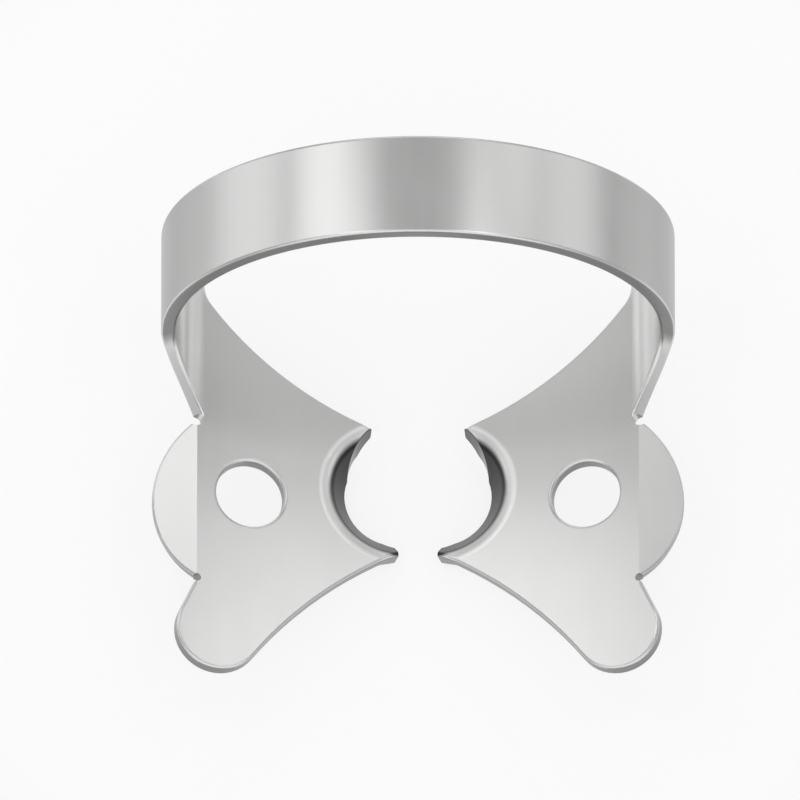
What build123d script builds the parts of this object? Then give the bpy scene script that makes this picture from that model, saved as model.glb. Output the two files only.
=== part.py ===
from build123d import *
from math import acos, atan2, cos, degrees, hypot, radians, sin
import os

# Rubber dam clamp: one blank of spring sheet steel, pierced, bent and tumbled.
# Millimetres. The origin is on the tooth's axis, at the level of the prongs. X runs across
# from jaw to jaw, Y to the back of the mouth, where the bow is, and Z up, away from the gum.
# The right half is modelled and mirrored.

# Sheet
sheet = 0.75

# Bow
bow_half_width = 12.45
bow_rise = 11.85
bow_strip = 5.1
bow_front = 6.02

# Curl that joins the bow to a jaw
curl_radius = 2.5
flare_reach = 3.8
flare_bulge = 0.28
flare_round = 2.0
trim_turn = 50.0
shoulder_round = 1.8
shoulder_gap = 0.05

# Jaw plate, sloping down to the tooth
jaw_slope = 14.0
jaw_apex = 0.75
inner_corner_round = 1.6
inner_corner_turn = 38.0

# Tooth arc, lip and prongs
neck_radius = 3.44
lip_centre_x = 1.05
lip_centre_y = -0.68
lip_arc_radius = 3.77
lip_bend_radius = 0.95
lip_turn = 50.0
lip_flank = 1.1
rear_prong_x = 1.85
rear_prong_y = 2.47
front_prong_x = 0.85
front_prong_y = -3.85

# Forceps hole
hole_radius = 1.7
hole_x = 8.34
hole_y = -1.54

# Front lobe
lobe_radius = 2.12
lobe_x = 9.88
lobe_y = -8.8
lobe_front_heading = 53.0

# Lateral wing, between the curl's flare and the lobe
wing_reach = 2.28
wing_root_gap = 0.33
wing_drop = 13.0
wing_back_gap = 0.05
wing_front_gap = 0.45
back_relief_radius = 0.35
front_relief_radius = 0.2

# Tumbled edges
edge_round = 0.15

# Values that follow
slope = radians(jaw_slope)
curl_inner = curl_radius - sheet
curl_x = bow_half_width - curl_radius
fold_x = (curl_x + curl_inner * sin(slope)) / cos(slope)
curl_z = jaw_apex + fold_x * sin(slope) + curl_inner * cos(slope)
curl_turn = 90.0 - jaw_slope
bow_back = bow_front + bow_strip
flare_end = bow_front - flare_reach
clearing_z = curl_z + 1.5 * curl_radius
trim_angle = radians(trim_turn)
wing_x = fold_x + wing_root_gap
wing_back = flare_end - wing_back_gap
wing_front = lobe_y + lobe_radius + wing_front_gap
wing_tilt = radians(wing_drop)
shoulder_centre = (fold_x - shoulder_gap + shoulder_round, bow_back - shoulder_round)
shoulder_angle = degrees(acos(1 - shoulder_gap / shoulder_round))
reach = 40.0

# The jaw's own plane is its upper face: x outward along the slope, y along Y
jaw_plane = Plane(
    origin=(0, 0, jaw_apex),
    x_dir=(cos(slope), 0, sin(slope)),
    z_dir=(-sin(slope), 0, cos(slope)),
)

# The curl is trimmed square to the sheet half-way round its bend
trim_plane = Plane(
    origin=(curl_x, 0, curl_z),
    x_dir=(-sin(trim_angle), 0, -cos(trim_angle)),
    z_dir=(cos(trim_angle), 0, -sin(trim_angle)),
)
curl_middle = curl_radius - sheet / 2
trim_end = curl_inner * sin(radians(curl_turn) - trim_angle)
trim_start = -curl_middle * sin(trim_angle)

# Right half of the bow with its curl
with BuildPart() as bow:
    with BuildSketch(Plane.XZ.offset(-bow_back)):
        with BuildLine():
            outer_arch = EllipticalCenterArc(
                (0, curl_z), bow_half_width, bow_rise, start_angle=0, arc_size=90
            )
            inner_arch = EllipticalCenterArc(
                (0, curl_z), bow_half_width - sheet, bow_rise - sheet, start_angle=0, arc_size=90
            )
            outer_curl = CenterArc((curl_x, curl_z), curl_radius, 0, -curl_turn)
            inner_curl = CenterArc((curl_x, curl_z), curl_inner, 0, -curl_turn)
            Line(outer_curl @ 1, inner_curl @ 1)
            Line(outer_arch @ 1, inner_arch @ 1)
        make_face()
    extrude(amount=bow_back - flare_end)
    # Clear the arch in front of the strip
    with BuildSketch(Plane.XY.offset(clearing_z)):
        with Locations((0, bow_front)):
            Rectangle(reach, reach, align=(Align.CENTER, Align.MAX))
    extrude(amount=reach, mode=Mode.SUBTRACT)
    # The front edge flares forward as the sheet curls under
    with BuildSketch(trim_plane.offset(-2 * curl_radius)) as flare_cut:
        with BuildLine():
            above = Line((-reach, bow_front), (trim_start, bow_front))
            chord = Vector(trim_end, flare_end) - Vector(trim_start, bow_front)
            bulge = Vector(-chord.Y, chord.X).normalized() * flare_bulge
            middle = Vector(trim_start, bow_front) + chord * 0.5 + bulge
            flare = ThreePointArc(above @ 1, middle, (trim_end, flare_end))
            Polyline(flare @ 1, (trim_end, -reach), (-reach, -reach), (-reach, bow_front))
        make_face()
        fillet(flare_cut.vertices().sort_by_distance((trim_start, bow_front))[0], flare_round)
    extrude(amount=4 * curl_radius, mode=Mode.SUBTRACT)
    # The rear corner is rounded off on its way into the jaw
    with BuildSketch(jaw_plane.offset(curl_inner)):
        with BuildLine():
            shoulder = CenterArc(shoulder_centre, shoulder_round, 180, -90)
            Polyline(
                shoulder @ 1,
                (shoulder_centre[0], bow_back + sheet),
                (fold_x - shoulder_round, bow_back + sheet),
                (fold_x - shoulder_round, shoulder_centre[1]),
                shoulder @ 0,
            )
        make_face()
    extrude(amount=-curl_radius - sheet, mode=Mode.SUBTRACT)
    # Tumbling rounds the front edges of the strip
    curved_edges = bow.edges().filter_by(GeomType.LINE, reverse=True)
    fillet(curved_edges.filter_by_position(Axis.Y, 0, bow_front + edge_round), edge_round)

# Outline of one jaw, drawn on its own plane
with BuildSketch() as jaw_outline:
    with BuildLine():
        into_plate = CenterArc(shoulder_centre, shoulder_round, 180 - shoulder_angle, shoulder_angle)
        corner = CenterArc(
            (fold_x - shoulder_gap - inner_corner_round, shoulder_centre[1]),
            inner_corner_round,
            0,
            -inner_corner_turn,
        )
        rear = TangentArc(corner @ 1, (rear_prong_x, rear_prong_y), tangent=corner % 1)
        heading = radians(lobe_front_heading)
        front_touch = (lobe_x - lobe_radius * sin(heading), lobe_y - lobe_radius * cos(heading))
        front = TangentArc(
            front_touch, (front_prong_x, front_prong_y), tangent=(-cos(heading), sin(heading))
        )
        Line(rear @ 1, front @ 1)
        to_root = hypot(wing_x - lobe_x, wing_front - lobe_y)
        root_angle = atan2(wing_front - lobe_y, wing_x - lobe_x)
        side_angle = degrees(root_angle - acos(lobe_radius / to_root))
        lobe_start = degrees(atan2(-cos(heading), -sin(heading)))
        lobe = CenterArc((lobe_x, lobe_y), lobe_radius, lobe_start, side_angle - lobe_start)
        Polyline(
            lobe @ 1,
            (wing_x, wing_front),
            (wing_x, wing_back),
            (fold_x, wing_back),
            into_plate @ 0,
        )
    make_face()

# The lip turns down along the tooth arc
lip_plane = Plane(
    origin=jaw_plane.from_local_coords((lip_centre_x, lip_centre_y, 0)),
    x_dir=jaw_plane.x_dir,
    z_dir=-jaw_plane.y_dir,
)
with BuildPart() as lip:
    with BuildSketch(lip_plane):
        with BuildLine():
            turn_centre = (lip_arc_radius, -lip_bend_radius)
            upper = CenterArc(turn_centre, lip_bend_radius, 90, lip_turn)
            lower = CenterArc(turn_centre, lip_bend_radius - sheet, 90, lip_turn)
            down = (-cos(radians(lip_turn)) * lip_flank, -sin(radians(lip_turn)) * lip_flank)
            flank = Line(upper @ 1, (upper @ 1) + Vector(*down))
            under = Line(lower @ 1, (lower @ 1) + Vector(*down))
            Line(flank @ 1, under @ 1)
            Line(upper @ 0, lower @ 0)
        make_face()
    revolve(axis=Axis(lip_plane.origin, jaw_plane.z_dir), revolution_arc=360)
    with BuildSketch(jaw_plane.offset(sheet)):
        add(jaw_outline.sketch)
    extrude(amount=-reach, mode=Mode.INTERSECT)

# Right jaw: plate, lip and prongs
with BuildPart() as jaw:
    with BuildSketch(jaw_plane):
        add(jaw_outline.sketch)
        with Locations((lip_centre_x, lip_centre_y)):
            Circle(lip_arc_radius, mode=Mode.SUBTRACT)
        with Locations((hole_x, hole_y)):
            Circle(hole_radius, mode=Mode.SUBTRACT)
    extrude(amount=-sheet)
    add(lip.part)
    # The prongs and the lip are ground to the tooth's neck
    Cylinder(neck_radius, reach, mode=Mode.SUBTRACT)
    # The front edge, the lobe and the forceps hole are rounded on both faces
    for face_plane in (jaw_plane, jaw_plane.offset(-sheet)):
        front_spot = face_plane.from_local_coords(front @ 0.5)
        hole_spot = face_plane.from_local_coords((hole_x, hole_y + hole_radius))
        fillet(jaw.edges().sort_by_distance(front_spot)[0], edge_round)
        fillet(jaw.edges().sort_by_distance(hole_spot)[0], edge_round)

# The lateral wing is pressed down along a crease at the plate's outer edge
wing_plane = Plane(
    origin=jaw_plane.from_local_coords((wing_x, (wing_back + wing_front) / 2, 0)),
    x_dir=(cos(wing_tilt), 0, -sin(wing_tilt)),
    z_dir=(sin(wing_tilt), 0, cos(wing_tilt)),
)
with BuildPart() as wing:
    with BuildSketch(wing_plane):
        with BuildLine():
            half_root = (wing_back - wing_front) / 2
            ThreePointArc((0, half_root), (wing_reach, 0), (0, -half_root))
            Line((0, -half_root), (0, half_root))
        make_face()
    extrude(amount=-sheet)
    fillet(wing.edges().filter_by(GeomType.CIRCLE), edge_round)

with BuildPart() as clamp:
    add(bow.part)
    add(jaw.part)
    # The rear edge runs from the bow's crown to the rear prong
    for face_plane in (jaw_plane, jaw_plane.offset(-sheet)):
        rear_spot = face_plane.from_local_coords(rear @ 0.5)
        fillet(clamp.edges().sort_by_distance(rear_spot)[0], edge_round)
    add(wing.part)
    # Small reliefs part the wing from the curl and from the lobe
    with BuildSketch(jaw_plane.offset(sheet)):
        with Locations((wing_x, wing_back)):
            Circle(back_relief_radius)
        with Locations((wing_x, wing_front)):
            Circle(front_relief_radius)
    extrude(amount=-3 * sheet, mode=Mode.SUBTRACT)
    mirror(about=Plane.YZ)

clamp.part.label = "clamp"
os.makedirs("parts", exist_ok=True)
export_step(clamp.part, "parts/clamp.step")
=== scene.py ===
import math

import bpy
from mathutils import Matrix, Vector


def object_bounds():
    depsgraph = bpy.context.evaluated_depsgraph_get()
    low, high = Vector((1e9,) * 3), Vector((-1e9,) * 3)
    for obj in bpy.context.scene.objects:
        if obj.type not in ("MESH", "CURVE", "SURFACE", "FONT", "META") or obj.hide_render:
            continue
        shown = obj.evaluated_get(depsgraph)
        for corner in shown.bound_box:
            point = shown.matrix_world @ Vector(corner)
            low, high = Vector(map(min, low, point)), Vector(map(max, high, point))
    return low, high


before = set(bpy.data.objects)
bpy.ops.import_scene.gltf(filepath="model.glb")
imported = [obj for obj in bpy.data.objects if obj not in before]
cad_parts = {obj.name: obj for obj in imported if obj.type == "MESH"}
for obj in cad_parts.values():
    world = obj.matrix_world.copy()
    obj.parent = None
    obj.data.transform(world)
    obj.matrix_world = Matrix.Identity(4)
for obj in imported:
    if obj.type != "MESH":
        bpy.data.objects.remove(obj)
cadBox = [list(corner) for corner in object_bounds()]

# Rubber dam clamp in satin spring steel, in metres. The tooth's axis is Z and the bow is at +Y.


class Wire:  # a node's output that takes part in plain arithmetic
    def __init__(self, tree, socket=None):
        self.tree = tree
        self.socket = socket

    def make(self, kind, settings=None, sockets=None, output=0):
        node = self.tree.nodes.new(kind)
        for name, value in (settings or {}).items():
            setattr(node, name, value)
        for name, value in (sockets or {}).items():
            if isinstance(value, Wire):
                self.tree.links.new(value.socket, node.inputs[name])
            else:
                node.inputs[name].default_value = value
        return Wire(self.tree, node.outputs[output] if node.outputs else None)

    def maths(self, operation, first, second=0.0):
        return self.make("ShaderNodeMath", {"operation": operation}, {0: first, 1: second})

    def __add__(self, other):
        return self.maths("ADD", self, other)

    def __sub__(self, other):
        return self.maths("SUBTRACT", self, other)

    def __rsub__(self, other):
        return self.maths("SUBTRACT", other, self)

    def __mul__(self, other):
        return self.maths("MULTIPLY", self, other)

    def __pow__(self, other):
        return self.maths("POWER", self, other)

    def __abs__(self):
        return self.maths("ABSOLUTE", self)

    __radd__ = __add__
    __rmul__ = __mul__

    def axis(self, name):  # one coordinate of a vector
        return self.make("ShaderNodeSeparateXYZ", sockets={"Vector": self}, output=name)

    def ramp(self, start, end):  # 0 at start, 1 at end, with soft ends
        return self.make(
            "ShaderNodeMapRange",
            {"interpolation_type": "SMOOTHSTEP"},
            {"Value": self, "From Min": start, "From Max": end},
        )

    def blend(self, share, first, second):  # two colours
        return self.make(
            "ShaderNodeMix", {"data_type": "RGBA"}, {0: share, 6: first, 7: second}, output=2
        )

    def noise(self, place, scale):  # centred on 0
        sockets = {"Vector": place, "Scale": scale, "Detail": 1.0}
        return self.make("ShaderNodeTexNoise", sockets=sockets) - 0.5


def newMaterial(name):  # the material, and a wire that adds nodes to it
    material = bpy.data.materials.new(name)
    material.use_nodes = True
    material.node_tree.nodes.clear()
    return material, Wire(material.node_tree)


print("stage: satin steel")

steelLook = {
    "tone": (0.66, 0.66, 0.655, 1.0),
    # Painted light in the colours below: a near-black shade for the lips' flanks and the prongs'
    # inner faces, a light highlight for the bend round them, a darker shade for the bow's flanks
    # and for the sheared walls
    "paintedLipShade": (0.07, 0.07, 0.069, 1.0),
    "paintedBendHighlight": (0.87, 0.87, 0.865, 1.0),
    "paintedFlankShade": (0.39, 0.39, 0.387, 1.0),
    "cutFinishAndShade": (0.25, 0.25, 0.248, 1.0),
    "toneSpread": 0.03,
    "roughness": 0.31,
    "roughnessSpread": 0.04,
    "streakScale": 1100.0,  # scales are to the metre
    "streakStretch": 0.2,
    "cloudScale": 420.0,
    "waveScale": 300.0,
    "waveHeight": 0.000006,
    "lipX": 0.00102,  # middle of the right lip's arc
    "lipY": -0.00068,
    # Distances from that middle at which the painted bend highlight and the painted shade on the
    # lip's flank start and are full
    "bendStart": 0.00385,
    "bendFull": 0.00365,
    "lipStart": 0.00338,
    "lipFull": 0.00312,
    # The same for the painted shade on the prongs' inner faces, from the tooth's axis
    "neckStart": 0.00350,
    "neckFull": 0.00345,
    # How far a face's normal points outward, along Y and along Z, where its painted darker tone
    # starts and is full
    "flankStart": 0.75,
    "flankFull": 0.97,
    "endStart": 0.75,
    "endFull": 0.95,
    "wallStart": 0.4,
    "wallFull": 0.2,
    # Y between which the bow gives way to the jaws
    "bowFront": 0.002,
    "jawBack": 0.001,
}

steel, kit = newMaterial("satin_spring_steel")
place = kit.make("ShaderNodeTexCoord", output="Object")
across = place.axis("X")
back = place.axis("Y")
stretch = (1.0, steelLook["streakStretch"], 1.0)
lengthwise = kit.make("ShaderNodeMapping", sockets={"Vector": place, "Scale": stretch})
streak = kit.noise(lengthwise, steelLook["streakScale"])
cloud = kit.noise(place, steelLook["cloudScale"])
wave = kit.noise(place, steelLook["waveScale"])

# Painted shade and painted highlight: the lips' flanks and the prongs' inner faces get a
# near-black colour that stands in for the dark reflection they show, and the bend round them gets
# a light colour that stands in for its highlight
fromLip = ((abs(across) - steelLook["lipX"]) ** 2 + (back - steelLook["lipY"]) ** 2) ** 0.5
fromTooth = (across ** 2 + back ** 2) ** 0.5
lipShadeMask = kit.maths(
    "MAXIMUM",
    fromLip.ramp(steelLook["lipStart"], steelLook["lipFull"]),
    fromTooth.ramp(steelLook["neckStart"], steelLook["neckFull"]),
)
bendHighlightMask = fromLip.ramp(steelLook["bendStart"], steelLook["bendFull"])
bendHighlighted = kit.blend(bendHighlightMask, steelLook["tone"], steelLook["paintedBendHighlight"])
lipShaded = kit.blend(lipShadeMask, bendHighlighted, steelLook["paintedLipShade"])

# Painted shade: the bow's flanks look outward and mirror the white paper, and a darker colour
# painted on them stands in for a darker reflection
facing = kit.make("ShaderNodeNewGeometry", output="Normal")
outward = facing.axis("X") * kit.maths("SIGN", across)
flankShadeMask = outward.ramp(steelLook["flankStart"], steelLook["flankFull"])
flankShaded = kit.blend(flankShadeMask, lipShaded, steelLook["paintedFlankShade"])

# The sheared walls are darker than the sheet's faces, partly from their duller finish and partly
# from painted shade that stands in for the dark reflection they show: those that look forward or
# back, and on the jaws all the upright ones
ends = abs(facing.axis("Y")).ramp(steelLook["endStart"], steelLook["endFull"])
upright = abs(facing.axis("Z")).ramp(steelLook["wallStart"], steelLook["wallFull"])
onJaw = back.ramp(steelLook["bowFront"], steelLook["jawBack"])
shearedAndShadedMask = kit.maths("MAXIMUM", ends, upright * onJaw)
steelColour = kit.blend(shearedAndShadedMask, flankShaded, steelLook["cutFinishAndShade"])

shade = 1.0 + (streak + cloud) * steelLook["toneSpread"]
toned = kit.make("ShaderNodeVectorMath", {"operation": "SCALE"}, {0: steelColour, "Scale": shade})
rough = steelLook["roughness"] + (streak + cloud) * steelLook["roughnessSpread"]
bump = kit.make("ShaderNodeBump", sockets={"Height": wave, "Distance": steelLook["waveHeight"]})
satin = kit.make(
    "ShaderNodeBsdfPrincipled",
    sockets={"Base Color": toned, "Metallic": 1.0, "Roughness": rough, "Normal": bump},
)
kit.make("ShaderNodeOutputMaterial", sockets={"Surface": satin})

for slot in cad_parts["clamp"].material_slots:
    slot.material = steel

print("stage: floor")

floorLook = {
    "tone": (0.95, 0.95, 0.95, 1.0),
    "paintedFarShade": (0.72, 0.72, 0.72, 1.0),  # painted shade: the paper darkens away from the clamp, to meet the world at the horizon
    "glow": 0.8,  # painted light: whitens the paper round the clamp and fades with distance, with its shadow kept
    "near": 0.025,  # distances from the middle of the picture
    "far": 0.050,
    "middleY": 0.0046,
    "roughness": 0.9,
    "size": 3.0,
    "gap": 0.00001,  # under the clamp's lowest point
}

paper, kit = newMaterial("white_paper")
place = kit.make("ShaderNodeTexCoord", output="Object")
fromMiddle = (place.axis("X") ** 2 + (place.axis("Y") - floorLook["middleY"]) ** 2) ** 0.5
# Painted pool of light: near the clamp the paper has its full tone and glow, and far off it falls
# to a darker tone
near = fromMiddle.ramp(floorLook["far"], floorLook["near"])
paperColour = kit.blend(near, floorLook["paintedFarShade"], floorLook["tone"])
matt = kit.make(
    "ShaderNodeBsdfPrincipled",
    sockets={"Base Color": paperColour, "Roughness": floorLook["roughness"]},
)
glow = kit.make("ShaderNodeEmission", sockets={"Strength": 1.0})
rays = ("Is Camera Ray", "Is Glossy Ray", "Is Transmission Ray")
seen = sum(kit.make("ShaderNodeLightPath", output=ray) for ray in rays)
share = kit.maths("MINIMUM", seen, 1.0) * near * floorLook["glow"]
mixed = kit.make("ShaderNodeMixShader", sockets={0: share, 1: matt, 2: glow})
kit.make("ShaderNodeOutputMaterial", sockets={"Surface": mixed})

floorLevel = cadBox[0][2] - floorLook["gap"]
bpy.ops.mesh.primitive_plane_add(size=floorLook["size"], location=(0, 0, floorLevel))
floor = bpy.context.object
floor.name = "floor"
floor.data.materials.append(paper)

print("stage: light")

lightPlan = {
    "world": 0.49,
    # centre, turn about X and Y in degrees, size across and along, radiance
    "lamps": {
        "leftLow": ((-0.078, 0.044, 0.0266), (0, -78), (0.049, 0.07), 0.62),
        "leftSide": ((-0.0485, 0.036, 0.060), (0, 0), (0.035, 0.032), 1.08),
        "leftMiddle": ((-0.025, 0.032, 0.060), (0, 0), (0.012, 0.016), 0.6),
        "leftFront": ((-0.024, 0.009, 0.060), (0, 0), (0.014, 0.026), 1.95),
        "rightFront": ((0.024, 0.009, 0.060), (0, 0), (0.014, 0.026), 2.1),
        "rightMiddle": ((0.025, 0.032, 0.060), (0, 0), (0.012, 0.016), 0.6),
        "rightSide": ((0.049, 0.043, 0.060), (0, 0), (0.028, 0.026), 0.7),
        "rightLow": ((0.0752, 0.044, 0.0374), (0, 70), (0.040, 0.07), 0.5),
        "front": ((0, -0.161, 0.135), (50, 0), (0.56, 0.28), 0.65),
        "back": ((0, 0.15, 0.06), (-68, 0), (0.12, 0.06), 1.0),
    },
}

for name, (centre, turn, (width, length), radiance) in lightPlan["lamps"].items():
    data = bpy.data.lights.new(name, "AREA")
    data.shape = "RECTANGLE"
    data.size = width
    data.size_y = length
    data.energy = radiance * math.pi * width * length
    lamp = bpy.data.objects.new(name, data)
    bpy.context.scene.collection.objects.link(lamp)
    lamp.location = centre
    lamp.rotation_euler = (math.radians(turn[0]), math.radians(turn[1]), 0)
    lamp.visible_camera = False

world = bpy.data.worlds.new("studio")
bpy.context.scene.world = world
world.use_nodes = True
background = world.node_tree.nodes["Background"]
background.inputs["Color"].default_value = (1, 1, 1, 1)
background.inputs["Strength"].default_value = lightPlan["world"]

print("stage: camera")

cameraPlan = {
    "aim": (-0.000873, 0.00382, 0.00187),
    "elevation": 66.0,  # degrees above the level, from the front
    "lens": 1600.0,  # millimetres, so long that the view is nearly parallel
    "sensor": 36.0,  # millimetres
    "viewWidth": 0.0388,
    "clipNear": 0.1,  # shares of the camera's distance
    "clipFar": 20.0,
}

cameraData = bpy.data.cameras.new("camera")
cameraData.sensor_width = cameraPlan["sensor"]
cameraData.lens = cameraPlan["lens"]
camera = bpy.data.objects.new("camera", cameraData)
bpy.context.scene.collection.objects.link(camera)
rise = math.radians(cameraPlan["elevation"])
backward = Vector((0, -math.cos(rise), math.sin(rise)))
distance = cameraPlan["viewWidth"] * cameraPlan["lens"] / cameraPlan["sensor"]
camera.location = Vector(cameraPlan["aim"]) + backward * distance
camera.rotation_mode = "QUATERNION"
camera.rotation_quaternion = backward.to_track_quat("Z", "Y")
cameraData.clip_start = distance * cameraPlan["clipNear"]
cameraData.clip_end = distance * cameraPlan["clipFar"]
bpy.context.scene.camera = camera

bpy.context.scene.view_settings.view_transform = "Standard"
